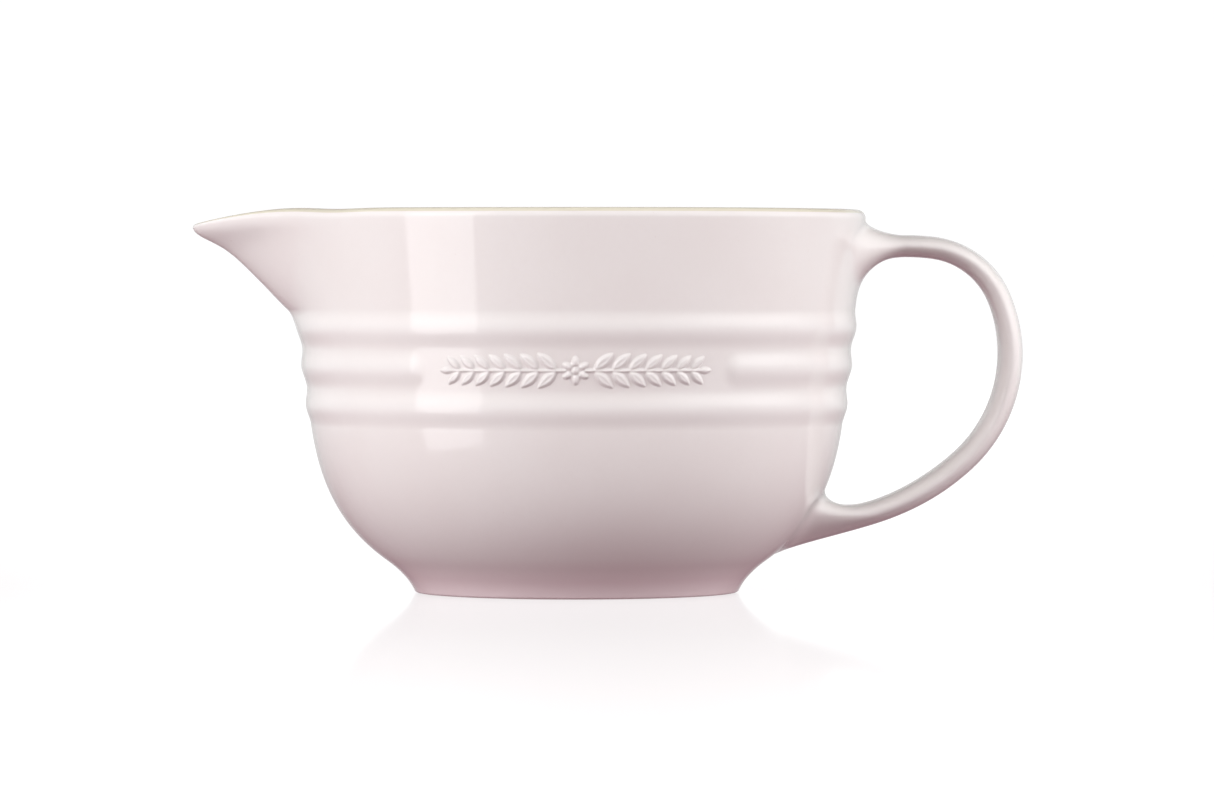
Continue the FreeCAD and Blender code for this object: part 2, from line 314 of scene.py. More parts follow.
def outer_base():
    foot = np.vstack([FOOT_WRAP, three_point_curve(FOOT_CURVE, FOOT_ROWS)])
    belly = bezier(BELLY, BELLY_ROWS)
    bands = np.linspace(BAND_ZONE[0], BAND_ZONE[1], BAND_ROWS)[1:]
    upper = np.linspace(BAND_ZONE[1], SPOUT_SHOULDER, UPPER_ROWS)[1:]
    levels = np.concatenate([bands, upper])
    wall = np.column_stack([wall_radius(levels), levels])
    return smooth_rows(np.vstack([foot, belly, wall]), *FOOT_BLEND, FOOT_BLEND_PASSES)


def inner_base():
    levels = np.linspace(SPOUT_SHOULDER, WALL_FOOT[1], INNER_WALL_ROWS)[:-1]
    wall = np.column_stack([wall_radius(levels) - LIP_THICKNESS, levels])
    start, turn = (np.array([wall_radius(z) - LIP_THICKNESS, z]) for z in (WALL_FOOT[1], CAVITY_TURN))
    cavity = bezier(np.vstack([start, turn, CAVITY_FLOOR]), CAVITY_ROWS)
    floor_z = cavity[-1, 1]
    floor = np.array([(radius, floor_z) for radius in FLOOR_RINGS])
    return np.vstack([wall, cavity, floor])


def column_angles(count):
    """Compass angles round the bowl, closer together at the spout and at the noses of the middle band."""
    fine = np.linspace(0, 360, 3601)
    spout = np.exp(-(((fine - SPOUT_SIDE) / SPOUT_DENSITY_ANGLE) ** 2))
    noses = np.exp(-(((np.abs(fine - FRONT) - NOSE_DENSITY_CENTRE) / NOSE_DENSITY_ANGLE) ** 2))
    density = 1 + SPOUT_DENSITY * spout + NOSE_DENSITY * noses
    total = np.concatenate([[0], np.cumsum((density[1:] + density[:-1]) / 2)])
    return np.interp(np.arange(count) / count, total / total[-1], fine)


def lip_rows(outer_edge, inner_edge, angles, count):
    """Rounded lip from the outer shoulder over the crest to the inner shoulder, both ends left out."""
    turn = np.linspace(0, np.pi, count)[1:-1, None]
    middle = (outer_edge + inner_edge) / 2
    half = (outer_edge - inner_edge) / 2
    radius = middle[None, :] + half[None, :] * np.cos(turn)
    z = lip_shoulder(angles)[None, :] + lip_height(angles)[None, :] * np.sin(turn)
    return radius, z


def vessel_surface(count):
    """The whole glazed surface from the foot over the lip to the cavity's middle, and where its parts end."""
    angles = column_angles(count)
    outer_radius, outer_z = outer_points(outer_base(), angles)
    inner_radius, inner_z = inner_points(inner_base(), angles)
    lip_radius, lip_z = lip_rows(outer_radius[-1], inner_radius[0], angles, LIP_ROWS)
    radius = np.vstack([outer_radius, lip_radius, inner_radius])
    z = np.vstack([outer_z, lip_z, inner_z])
    grid = to_xyz(radius, z, angles)
    shoulder = len(outer_radius) - 1
    return grid, grid_normals(grid, True), angles, shoulder, shoulder + LIP_ROWS - 1


# ---------------------------------------------------------------- mesh building
def mesh_object(name, points, faces, normals, material, thin=None):
    mesh = bpy.data.meshes.new(name)
    mesh.from_pydata((points / MM).tolist(), [], faces)
    mesh.polygons.foreach_set("use_smooth", [True] * len(mesh.polygons))
    attribute = mesh.attributes.new("thin", "FLOAT", "POINT")
    attribute.data.foreach_set("value", np.zeros(len(points)) if thin is None else thin)
    mesh.materials.append(material)
    mesh.validate()
    mesh.update()
    if normals is not None:
        mesh.normals_split_custom_set_from_vertices(normals.tolist())
    piece = bpy.data.objects.new(name, mesh)
    bpy.context.scene.collection.objects.link(piece)
    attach(piece, "root")
    return piece


def lattice(rows, columns, ring_closed, pole_rows=()):
    """Faces of a lattice of rows and columns, columns closed into rings. A pole row is a single point."""
    index = np.arange(rows * columns).reshape(rows, columns)
    for row in pole_rows:
        index[row] = index[row, 0]
    faces = []
    last = rows if ring_closed else rows - 1
    for row in range(last):
        low, high = index[row], index[(row + 1) % rows]
        if row in pole_rows and (row + 1) % rows in pole_rows:
            continue
        quads = np.column_stack([low, np.roll(low, -1), np.roll(high, -1), high])
        if row in pole_rows:
            faces.extend(quads[:, [0, 2, 3]].tolist())
        elif (row + 1) % rows in pole_rows:
            faces.extend(quads[:, [0, 1, 2]].tolist())
        else:
            faces.extend(quads.tolist())
    return faces


def compact(points, faces, *extras):
    """Drops points that no face uses."""
    used = np.zeros(len(points), bool)
    for face in faces:
        used[face] = True
    place = np.cumsum(used) - 1
    faces = [[int(place[i]) for i in face] for face in faces]
    return (points[used], faces) + tuple(extra[used] for extra in extras)


def coat(name, grid, normals, depth, material, thin=None, back_step=3):
    """Closed skin: the surface itself, and a plainer back face at a depth under it."""
    rows = len(grid)
    back = np.arange(rows - 1, -1, -back_step)
    if back[-1] != 0:
        back = np.append(back, 0)
    points = np.concatenate([grid, grid[back] - depth * normals[back]])
    vectors = np.concatenate([normals, -normals[back]])
    columns = grid.shape[1]
    has_pole = np.ptp(grid[-1], axis=0).max() < 1e-6
    poles = (rows - 1, rows) if has_pole else ()
    faces = lattice(len(points), columns, True, poles)
    values = np.zeros(points.shape[:2])
    if thin is not None:
        values[:rows] = thin
        values[rows:] = thin[back]
    flat = compact(points.reshape(-1, 3), faces, vectors.reshape(-1, 3), values.ravel())
    return mesh_object(name, flat[0], flat[1], flat[2], material, flat[3])


def solid(name, grid, normals, material, ring_closed=False):
    """Closed body from rings of points. An open chain of rings is closed at each end with a middle point."""
    columns = grid.shape[1]
    if ring_closed:
        points, vectors, poles = grid, normals, ()
    else:
        first = np.repeat(grid[:1].mean(axis=1, keepdims=True), columns, axis=1)
        last = np.repeat(grid[-1:].mean(axis=1, keepdims=True), columns, axis=1)
        points = np.concatenate([first, grid, last])
        poles = (0, len(points) - 1)
        vectors = None
    faces = lattice(len(points), columns, ring_closed, poles)
    if vectors is None:
        flat = compact(points.reshape(-1, 3), faces)
        return mesh_object(name, flat[0], flat[1], None, material)
    flat = compact(points.reshape(-1, 3), faces, vectors.reshape(-1, 3))
    return mesh_object(name, flat[0], flat[1], flat[2], material)


# ---------------------------------------------------------------- the handle
STRAP_HALF_WIDTH = 13.4
# share of the way along the strap, and its thickness there
STRAP_THICKNESS = np.array([(0.0, 7.6), (0.25, 8.0), (0.5, 8.7), (0.8, 8.6), (1.0, 8.1)])
RING_POINTS = 96
FRAME_SPACING = 2.4
ROOT_ROWS = 26
# rings at each root whose normals turn into the wall's, and how deep the last ring sinks into it
JOINT_ROWS = 9
ROOT_SINK = 0.8
UPPER_FOOT = dict(centre=116.0, half_width=34.0, outward=11.2, inward=18.0, taper=0.0)
LOWER_FOOT = dict(centre=26.2, half_width=22.5, outward=14.2, inward=9.6, taper=0.24)
# pull of each root: along the strap and along the wall, for the outer, inner and side edges
UPPER_PULL = dict(outer=(15.0, 9.0), inner=(34.0, 30.0), side=(22.0, 22.0))
LOWER_PULL = dict(outer=(42.0, 18.0), inner=(34.0, 13.0), side=(22.0, 28.0))


def strap_frames(spacing):
    """Places along the strap's centre line as x, z and heading."""
    x, z = HANDLE_START
    heading = HANDLE_START_HEADING
    frames = [(x, z, heading)]
    for radius, turn in HANDLE_BENDS:
        across = np.radians(heading)
        centre = (x + radius * math.sin(across), z - radius * math.cos(across))
        steps = max(2, round(radius * math.radians(turn) / spacing))
        for step in range(1, steps + 1):
            now = heading - turn * step / steps
            side = math.radians(now)
            frames.append((centre[0] - radius * math.sin(side), centre[1] + radius * math.cos(side), now))
        x, z, heading = frames[-1]
    return np.array(frames)


def strap_rings(frames, turn):
    share = np.linspace(0, 1, len(frames))
    half = monotone_curve(STRAP_THICKNESS, share) / 2
    heading = np.radians(frames[:, 2])
    across = half[:, None] * np.sin(turn)[None, :]
    x = frames[:, 0][:, None] - np.sin(heading)[:, None] * across
    z = frames[:, 1][:, None] + np.cos(heading)[:, None] * across
    y = np.broadcast_to(STRAP_HALF_WIDTH * np.cos(turn)[None, :], x.shape)
    return np.stack([x, y, z], axis=2)


def handle_side_profile():
    """Radius against height on the handle's side, up to the crest of the lip."""
    side = np.array([HANDLE_SIDE])
    radius, z = outer_points(outer_base(), side)
    lip_radius, lip_z = lip_rows(radius[-1], radius[-1] - LIP_THICKNESS, side, LIP_ROWS)
    rising = LIP_ROWS // 2
    heights = np.concatenate([z[:, 0], lip_z[:rising, 0]])
    return heights, np.concatenate([radius[:, 0], lip_radius[:rising, 0]])


def footprint(foot, turn, scale, profile):
    """Ring of points on the wall where a root ends, or a larger one round it."""
    sine, cosine = np.sin(turn), np.cos(turn)
    direction = -1.0 if foot is LOWER_FOOT else 1.0
    rise = np.where(sine > 0, foot["outward"], foot["inward"]) * sine * direction * scale
    y = foot["half_width"] * cosine * (1 - foot["taper"] * sine) * scale
    z = foot["centre"] + rise
    radius = np.interp(z, profile[0], profile[1])
    return np.stack([np.sqrt(radius**2 - y**2), y, z], axis=1)


def pull_at(pulls, which, turn):
    sine = np.sin(turn)
    edge = np.where(sine > 0, pulls["outer"][which], pulls["inner"][which])
    return pulls["side"][which] + (edge - pulls["side"][which]) * sine**2


def root_rings(foot, pulls, ring, along, turn, profile):
    """Smooth flare from the strap's end ring to the wall, which it meets without a crease."""
    print_ring = footprint(foot, turn, 1.0, profile)
    step = 0.03
    outward = footprint(foot, turn, 1.0 + step, profile) - footprint(foot, turn, 1.0 - step, profile)
    outward /= np.linalg.norm(outward, axis=1, keepdims=True)
    leave = pull_at(pulls, 0, turn)[:, None] * np.array(along)[None, :]
    arrive = pull_at(pulls, 1, turn)[:, None] * outward
    t = np.linspace(0, 1, ROOT_ROWS)[:, None, None]
    rings = (2 * t**3 - 3 * t**2 + 1) * ring + (t**3 - 2 * t**2 + t) * leave
    return rings + (3 * t**2 - 2 * t**3) * print_ring + (t**3 - t**2) * arrive


def wall_normals(points, profile):
    """Outward normals of the wall at points on it."""
    slope = np.interp(points[:, 2], profile[0], np.gradient(profile[1], profile[0]))
    turn = np.arctan2(points[:, 1], points[:, 0])
    normals = np.stack([np.cos(turn), np.sin(turn), -slope], axis=1)
    return normals / np.linalg.norm(normals, axis=1, keepdims=True)


def handle_surface():
    turn = np.linspace(0, 2 * np.pi, RING_POINTS, endpoint=False)
    profile = handle_side_profile()
    frames = strap_frames(FRAME_SPACING)
    strap = strap_rings(frames, turn)
    start, end = np.radians(frames[0, 2]), np.radians(frames[-1, 2])
    into_upper = (-math.cos(start), 0.0, -math.sin(start))
    into_lower = (math.cos(end), 0.0, math.sin(end))
    upper = root_rings(UPPER_FOOT, UPPER_PULL, strap[0], into_upper, turn, profile)[::-1]
    lower = root_rings(LOWER_FOOT, LOWER_PULL, strap[-1], into_lower, turn, profile)
    grid = np.concatenate([upper[:-1], strap, lower[1:]])
    normals = grid_normals(grid, True)
    # the last few rings turn into the wall's own direction, so that glaze seems to run over the joint
    for ring in range(JOINT_ROWS):
        share = smoothstep(1 - ring / JOINT_ROWS)
        for row in (ring, len(grid) - 1 - ring):
            mixed = normals[row] * (1 - share) + wall_normals(grid[row], profile) * share
            normals[row] = mixed / np.linalg.norm(mixed, axis=1, keepdims=True)
    sunk_first = grid[:1] - ROOT_SINK * normals[:1]
    sunk_last = grid[-1:] - ROOT_SINK * normals[-1:]
    grid = np.concatenate([sunk_first, grid, sunk_last])
    return grid, np.concatenate([normals[:1], normals, normals[-1:]])


# ---------------------------------------------------------------- the relief ornament
RELIEF_STEP = 0.24
RELIEF_HALF_LENGTH = 47.5
RELIEF_HALF_HEIGHT = 7.2
RELIEF_HEIGHT = 1.0
# the skin lies this far under the wall where the relief ends, its back this far, and lower relief is left out
RELIEF_SINK = 0.035
RELIEF_ROOT = 0.3
RELIEF_LEAST = 0.012
BLUR_PASSES = 3
LEAF_ROWS = 7
LEAF_PITCH = 5.85
FIRST_LEAF = 6.3
LEAF_LENGTH = 8.3
LEAF_HALF_WIDTH = 1.95
LEAF_SPLAY = 41.0
LEAF_SHRINK = 0.035
PITCH_SHRINK = 0.012
LEAF_OFFSET = 0.4
LEAF_EDGE = 1.15
VEIN_DEPTH = 0.22
VEIN_WIDTH = 0.32
# the leaf at the sprig's end: how far it starts inside the stem's end, its length and half width
END_LEAF = (2.4, 5.2, 1.3)
STEM_END = FIRST_LEAF + LEAF_ROWS * LEAF_PITCH * 0.92
STEM_START = 3.0
STEM_HALF_WIDTH = 0.7
STEM_EDGE = 0.65
STEM_HEIGHT = 0.75
# the flower between the sprigs, with a button in its middle and a groove round the button
FLOWER_RADIUS = 5.0
PETALS = 6
PETAL_REACH = (0.82, 0.18)
PETAL_HEIGHT = (0.72, 0.28)
PETAL_EDGE = 1.4
BUTTON_RADIUS = 1.5
BUTTON_GROOVE = (1.2, 2.1)


def dome(distance, softness):
    """Height from a signed distance inside a shape: steep at the edge and flat on top."""
    return smoothstep(distance / softness) ** 0.8


def leaf_height(u, w, foot, angle, length, half_width):
    turn = math.radians(angle)
    along = (u - foot[0]) * math.cos(turn) + (w - foot[1]) * math.sin(turn)
    aside = -(u - foot[0]) * math.sin(turn) + (w - foot[1]) * math.cos(turn)
    share = np.clip(along / length, 0, 1)
    width = half_width * np.sin(np.pi * share**0.85) ** 0.75
    inside = np.where((along > 0) & (along < length), width - np.abs(aside), -1.0)
    fade = smoothstep(share * 3) * smoothstep((1 - share) * 4)
    vein = VEIN_DEPTH * np.exp(-((aside / VEIN_WIDTH) ** 2)) * fade
    return np.maximum(dome(inside, LEAF_EDGE) - vein * (inside > 0), 0.0)


def sprig_height(u, w):
    """Relief of the two sprigs and the flower between them, from 0 on the wall to 1."""
    side = np.abs(u)
    height = np.zeros_like(u)
    for row in range(LEAF_ROWS):
        size = 1 - LEAF_SHRINK * row
        foot = FIRST_LEAF + row * LEAF_PITCH * (1 - PITCH_SHRINK * row)
        for tilt in (1, -1):
            start = (foot, LEAF_OFFSET * tilt)
            leaf = leaf_height(side, w, start, LEAF_SPLAY * tilt, LEAF_LENGTH * size, LEAF_HALF_WIDTH * size)
            height = np.maximum(height, leaf)
    back, length, half_width = END_LEAF
    height = np.maximum(height, leaf_height(side, w, (STEM_END - back, 0.0), 0.0, length, half_width))
    stem = np.where((side > STEM_START) & (side < STEM_END), STEM_HALF_WIDTH - np.abs(w), -1.0)
    height = np.maximum(height, STEM_HEIGHT * dome(stem, STEM_EDGE))
    radius, angle = np.hypot(u, w), np.arctan2(w, u)
    lobes = np.cos(PETALS * angle)
    petals = FLOWER_RADIUS * (PETAL_REACH[0] - PETAL_REACH[1] * lobes) - radius
    flower = dome(petals, PETAL_EDGE) * (PETAL_HEIGHT[0] - PETAL_HEIGHT[1] * lobes * smoothstep(radius / 2))
    button = dome(BUTTON_RADIUS - radius, 1.0)
    groove = smoothstep((radius - BUTTON_GROOVE[0]) / (BUTTON_GROOVE[1] - BUTTON_GROOVE[0]))
    flower = np.where(radius < BUTTON_GROOVE[1], np.maximum(flower * groove, button), flower)
    return np.maximum(height, flower)


def soften(field, passes):
    """Glaze fills corners, so the relief is blurred a little."""
    for _ in range(passes):
        padded = np.pad(field, 1, mode="edge")
        field = (padded[:-2, 1:-1] + padded[2:, 1:-1] + padded[1:-1, :-2] + padded[1:-1, 2:] + 4 * field) / 8
    return field


def ornament_mesh(material):
    """Raised parts of the ornament as closed solids that grow out of the wall."""
    rows = round(2 * RELIEF_HALF_HEIGHT / RELIEF_STEP)
    columns = round(2 * RELIEF_HALF_LENGTH / RELIEF_STEP)
    w = np.linspace(-RELIEF_HALF_HEIGHT, RELIEF_HALF_HEIGHT, rows)[:, None]
    u = np.linspace(-RELIEF_HALF_LENGTH, RELIEF_HALF_LENGTH, columns)[None, :]
    height = soften(sprig_height(*np.broadcast_arrays(u, w)), BLUR_PASSES)
    z = ORNAMENT_Z + w
    angles = FRONT + np.degrees(u[0] / wall_radius(ORNAMENT_Z))
    ground = to_xyz(wall_radius(z) + band_relief(z, angles[None, :]), z, angles)
    outward = grid_normals(ground, False)
    skin = ground + (RELIEF_HEIGHT * height - RELIEF_SINK)[:, :, None] * outward
    normals = grid_normals(skin, False)
    root = ground - RELIEF_ROOT * outward
    keep = np.zeros((rows + 1, columns + 1), bool)
    high = height > RELIEF_LEAST
    keep[1:-1, 1:-1] = high[:-1, :-1] | high[1:, :-1] | high[:-1, 1:] | high[1:, 1:]
    index = np.arange(rows * columns).reshape(rows, columns)
    under = rows * columns
    faces = []
    for row, column in np.argwhere(keep):
        a, b = index[row - 1, column - 1], index[row - 1, column]
        c, d = index[row, column], index[row, column - 1]
        faces.append([a, b, c, d])
        faces.append([d + under, c + under, b + under, a + under])
        for free, start, end in (
            (not keep[row - 1, column], a, b), (not keep[row, column + 1], b, c),
            (not keep[row + 1, column], c, d), (not keep[row, column - 1], d, a),
        ):
            if free:
                faces.append([end, start, start + under, end + under])
    points = np.concatenate([skin.reshape(-1, 3), root.reshape(-1, 3)])
    vectors = np.concatenate([normals.reshape(-1, 3), -outward.reshape(-1, 3)])
    thin = np.concatenate([height.ravel(), np.zeros(height.size)])
    flat = compact(points, faces, vectors, thin)
    return mesh_object("relief_sprigs", flat[0], flat[1], flat[2], material, flat[3])


# ---------------------------------------------------------------- foot ring and underside
RING_BOTTOM = (47.6, 52.7)
RING_ROUND = 1.0
RING_INNER_WALL = ((BASE_RADIUS, FOOT_TOP), (BASE_RADIUS + 0.1, 4.2), (BASE_RADIUS + 0.2, 2.0))
RING_INNER_FOOT = BASE_RADIUS + 0.25
# underside: radius, and how far it lies under the top of the recess
UNDERSIDE = np.array([
    (BASE_RADIUS - 0.05, 2.3), (BASE_RADIUS - 0.35, 1.2), (BASE_RADIUS - 1.2, 0.35), (BASE_RADIUS - 2.6, 0.0),
    (36.0, -0.05), (24.0, -0.1), (12.0, -0.1), (0.0, -0.1),
])
UNDERSIDE_GLAZE = 0.3
FOOT_COLUMNS = 192
UNDERSIDE_COLUMNS = 144


def turned(profile, columns):
    """A profile of radius and height turned round the axis."""
    angles = np.arange(columns) * 360.0 / columns
    return to_xyz(np.repeat(profile[:, :1], columns, axis=1), profile[:, 1:], angles)


def foot_ring_surface(columns):
    """Bare turned ring, as one closed loop of rings: up the outside, in over the top and down the inside."""
    turn = np.linspace(0, np.pi / 2, 6)
    outer_radius = RING_BOTTOM[1] + RING_ROUND * np.sin(turn)
    outer_round = np.column_stack([outer_radius, RING_ROUND * (1 - np.cos(turn))])
    outside = three_point_curve(FOOT_CURVE, 8)[1:]
    outside[:, 0] -= CLAY_GAP
    inner_radius = RING_BOTTOM[0] - (RING_BOTTOM[0] - RING_INNER_FOOT) * np.cos(turn)
    inner_round = np.column_stack([inner_radius, RING_ROUND * (1 - np.sin(turn))])
    profile = np.vstack([outer_round, outside, RING_INNER_WALL, inner_round])
    grid = turned(profile, columns)
    round_it = np.roll(grid, -1, axis=1) - np.roll(grid, 1, axis=1)
    along = np.roll(grid, -1, axis=0) - np.roll(grid, 1, axis=0)
    normal = np.cross(round_it, along)
    return grid, normal / np.linalg.norm(normal, axis=2, keepdims=True)


def underside_surface(columns):
    """Glazed underside, from the ring's inner wall, which it climbs a little, to the middle."""
    profile = np.column_stack([UNDERSIDE[:, 0], FOOT_TOP - GLAZE - UNDERSIDE[:, 1]])
    grid = turned(profile, columns)[:, ::-1]
    return grid, grid_normals(grid, True)


# ---------------------------------------------------------------- materials
def node(tree, kind, **values):
    made = tree.nodes.new(kind)
    for key, value in values.items():
        setattr(made, key, value)
    return made


def noise(tree, coordinates, scale, detail, roughness=0.5):
    made = node(tree, "ShaderNodeTexNoise")
    made.inputs["Scale"].default_value = scale
    made.inputs["Detail"].default_value = detail
    made.inputs["Roughness"].default_value = roughness
    tree.links.new(coordinates, made.inputs["Vector"])
    return made.outputs["Fac"]


def ramp(tree, value, low, high, out_low=0.0, out_high=1.0):
    made = node(tree, "ShaderNodeMapRange")
    for key, number in (("From Min", low), ("From Max", high), ("To Min", out_low), ("To Max", out_high)):
        made.inputs[key].default_value = number
    tree.links.new(value, made.inputs["Value"])
    return made.outputs["Result"]


def mix_colour(tree, factor, first, second):
    made = node(tree, "ShaderNodeMix", data_type="RGBA")
    tree.links.new(factor, made.inputs["Factor"])
    for socket, colour in ((made.inputs["A"], first), (made.inputs["B"], second)):
        if isinstance(colour, tuple):
            socket.default_value = (*colour, 1.0)
        else:
            tree.links.new(colour, socket)
    return made.outputs["Result"]


def start_material(name):
    material = bpy.data.materials.new(name)
    material.use_nodes = True
    tree = material.node_tree
    shader = tree.nodes["Principled BSDF"]
    coordinates = node(tree, "ShaderNodeTexCoord").outputs["Object"]
    return material, tree, shader, coordinates


def bump(tree, shader, height, strength, distance):
    made = node(tree, "ShaderNodeBump")
    made.inputs["Strength"].default_value = strength
    made.inputs["Distance"].default_value = distance
    tree.links.new(height, made.inputs["Height"])
    tree.links.new(made.outputs["Normal"], shader.inputs["Normal"])


# heights in metres between which the glaze turns to its darker, pinker foot colour, from none to all: partly
# thicker glaze there, partly painted shade near the floor
FOOT_POOL_AND_SHADE_ZONE = (0.014, 0.006)


def glaze_material(name, body, pooled, thin, speck, foot_pool_and_shade=None):
    """Glossy glaze: darker where it pools, paler where it breaks thin, a rare speck, and darker and pinker at
    the foot, partly thicker glaze and partly painted shade near the floor.
    """
    material, tree, shader, coordinates = start_material(name)
    clouds = ramp(tree, noise(tree, coordinates, 22.0, 3.0), 0.35, 0.7)
    mottle = ramp(tree, noise(tree, coordinates, 520.0, 2.0), 0.3, 0.8, 0.0, 0.35)
    colour = mix_colour(tree, clouds, body, pooled)
    colour = mix_colour(tree, mottle, colour, pooled)
    edge = node(tree, "ShaderNodeAttribute", attribute_name="thin")
    colour = mix_colour(tree, ramp(tree, edge.outputs["Fac"], 0.0, 1.0, 0.0, 0.6), colour, thin)
    specks = ramp(tree, noise(tree, coordinates, 900.0, 1.0), 0.80, 0.84, 0.0, 0.25)
    colour = mix_colour(tree, specks, colour, speck)
    # painted shade near the floor, together with thicker glaze: darker and pinker towards the foot
    if foot_pool_and_shade:
        height = node(tree, "ShaderNodeSeparateXYZ")
        tree.links.new(coordinates, height.inputs["Vector"])
        colour = mix_colour(tree, ramp(tree, height.outputs["Z"], *FOOT_POOL_AND_SHADE_ZONE), colour, foot_pool_and_shade)
    tree.links.new(colour, shader.inputs["Base Color"])
    gloss = ramp(tree, noise(tree, coordinates, 60.0, 2.0), 0.3, 0.7, 0.07, 0.12)
    tree.links.new(gloss, shader.inputs["Roughness"])
    shader.inputs["IOR"].default_value = 1.52
    shader.inputs["Coat Weight"].default_value = 0.6
    shader.inputs["Coat Roughness"].default_value = 0.03
    shader.inputs["Coat IOR"].default_value = 1.5
    bump(tree, shader, noise(tree, coordinates, 140.0, 2.0, 0.4), 0.05, 0.001)
    return material


def stoneware_material(name, body, dark):
    """Bare fired clay: fine sandy grain, matt."""
    material, tree, shader, coordinates = start_material(name)
    clouds = ramp(tree, noise(tree, coordinates, 60.0, 4.0), 0.3, 0.7)
    grain = ramp(tree, noise(tree, coordinates, 1800.0, 2.0), 0.45, 0.75, 0.0, 0.6)
    colour = mix_colour(tree, grain, mix_colour(tree, clouds, body, dark), dark)
    tree.links.new(colour, shader.inputs["Base Color"])
    tree.links.new(ramp(tree, grain, 0.0, 0.6, 0.68, 0.88), shader.inputs["Roughness"])
    bump(tree, shader, noise(tree, coordinates, 1400.0, 3.0, 0.6), 0.35, 0.0004)
    return material


# distances in metres from the bowl's axis, and the floor's glow at each: painted light on the floor, dimmer
# close to the bowl as painted shade round it
FLOOR_PAINTED_LIGHT_ZONE = (0.10, 2.00)
FLOOR_PAINTED_LIGHT = (0.87, 1.20)
BACKDROP_GLOW = 1.02


def floor_material():
    """White floor whose glow is painted light, a little dimmer close to the bowl as painted shade round it,
    with a soft sheen that mirrors it faintly.
    """
    material, tree, shader, coordinates = start_material("floor")
    distance = node(tree, "ShaderNodeVectorMath", operation="LENGTH")
    tree.links.new(coordinates, distance.inputs[0])
    # painted light: the floor glows, less close to the bowl as painted shade round it
    glow = ramp(tree, distance.outputs["Value"], *FLOOR_PAINTED_LIGHT_ZONE, *FLOOR_PAINTED_LIGHT)
    shader.inputs["Base Color"].default_value = (0.16, 0.16, 0.16, 1.0)
    shader.inputs["Emission Color"].default_value = (1.0, 0.985, 0.99, 1.0)
    tree.links.new(glow, shader.inputs["Emission Strength"])
    shader.inputs["Roughness"].default_value = 0.6
    shader.inputs["Specular IOR Level"].default_value = 0.0
    shader.inputs["Coat Weight"].default_value = 0.31
    shader.inputs["Coat Roughness"].default_value = 0.07
    shader.inputs["Coat IOR"].default_value = 1.5
    return material


def sweep_material():
    """White backdrop all round the studio."""
    material, _, shader, _ = start_material("sweep")
    shader.inputs["Base Color"].default_value = (0.0, 0.0, 0.0, 1.0)
    shader.inputs["Specular IOR Level"].default_value = 0.0
    shader.inputs["Emission Color"].default_value = (1.0, 1.0, 1.0, 1.0)
    shader.inputs["Emission Strength"].default_value = BACKDROP_GLOW
    return material


# ---------------------------------------------------------------- assembling the bowl
PINK = glaze_material(
    "pink_glaze",
    body=(0.803, 0.778, 0.766),
    pooled=(0.783, 0.748, 0.735),
    thin=(0.818, 0.798, 0.79),
    speck=(0.55, 0.42, 0.38),
    # foot colour: partly thicker glaze, partly painted shade near the floor
    foot_pool_and_shade=(0.73, 0.62, 0.635),
)
CREAM = glaze_material(
    "cream_glaze",
    body=(0.70, 0.665, 0.545),
    pooled=(0.67, 0.63, 0.50),
    thin=(0.73, 0.70, 0.60),
    speck=(0.50, 0.42, 0.30),
)
STONEWARE = stoneware_material("bare_stoneware", (0.62, 0.52, 0.41), (0.50, 0.40, 0.30))

# share of the lip's rows that is still pink, and how thin the glaze lies on lip, rim and bands, from 0 to 1
PINK_SHARE_OF_LIP = 0.2
LIP_EDGE_THIN = 0.6
RIM_THIN = 0.5
BAND_THIN_POWER = 1.5
# the clay under the glaze starts this far above the foot ring and takes only some rows and columns
CLAY_START = 0.3
CLAY_ROW_STEP = 3
CLAY_COLUMN_STEP = 2


def build_bowl():
    grid, normals, angles, shoulder, inner_shoulder = vessel_surface(COLUMNS)
    cream_start = shoulder + round((LIP_ROWS - 1) * PINK_SHARE_OF_LIP)
    relief = np.zeros(grid.shape[:2])
    relief[: shoulder + 1] = band_relief(grid[: shoulder + 1, :, 2], angles[None, :]) / BAND_RELIEF
    relief[shoulder:cream_start + 1] = LIP_EDGE_THIN
    outside = slice(0, cream_start + 1)
    rim = slice(cream_start, inner_shoulder + 1)
    inside = slice(inner_shoulder, len(grid))
    thin = relief[outside] ** BAND_THIN_POWER
    exterior = coat("exterior_glaze_coat", grid[outside], normals[outside], GLAZE, PINK, thin)
    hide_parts("exterior_glaze")
    thin = np.full(grid[rim].shape[:2], RIM_THIN)
    rim_coat = coat("rim_glaze_coat", grid[rim], normals[rim], GLAZE, CREAM, thin)
    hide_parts("rim_glaze")
    interior = coat("interior_glaze_coat", grid[inside], normals[inside], GLAZE, CREAM)
    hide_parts("interior_glaze")
    above_foot = int(np.argmax(grid[:, 0, 2] > FOOT_TOP + CLAY_START))
    rows = np.unique(np.append(np.arange(above_foot, len(grid) - 1, CLAY_ROW_STEP), len(grid) - 2))
    core = solid("bowl_clay", (grid - CLAY_GAP * normals)[rows][:, ::CLAY_COLUMN_STEP], None, STONEWARE)
    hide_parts("bowl_body", "pouring_spout")


def build_handle():
    grid, normals = handle_surface()
    skin = coat("handle_glaze_coat", grid, normals, GLAZE, PINK, back_step=2)
    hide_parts("handle_glaze")
    core = solid("handle_clay", (grid - CLAY_GAP * normals)[::2, ::2], None, STONEWARE)
    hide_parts("handle_strap", "handle_upper_joint", "handle_lower_joint")


def build_foot():
    grid, normals = foot_ring_surface(FOOT_COLUMNS)
    ring = solid("bare_foot_ring", grid, normals, STONEWARE, ring_closed=True)
    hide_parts("foot_ring")
    grid, normals = underside_surface(UNDERSIDE_COLUMNS)
    base = coat("base_glaze_coat", grid, normals, UNDERSIDE_GLAZE, PINK, back_step=2)
    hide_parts("base_glaze")


def build_ornament():
    sprigs = ornament_mesh(PINK)
    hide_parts("relief_ornament")


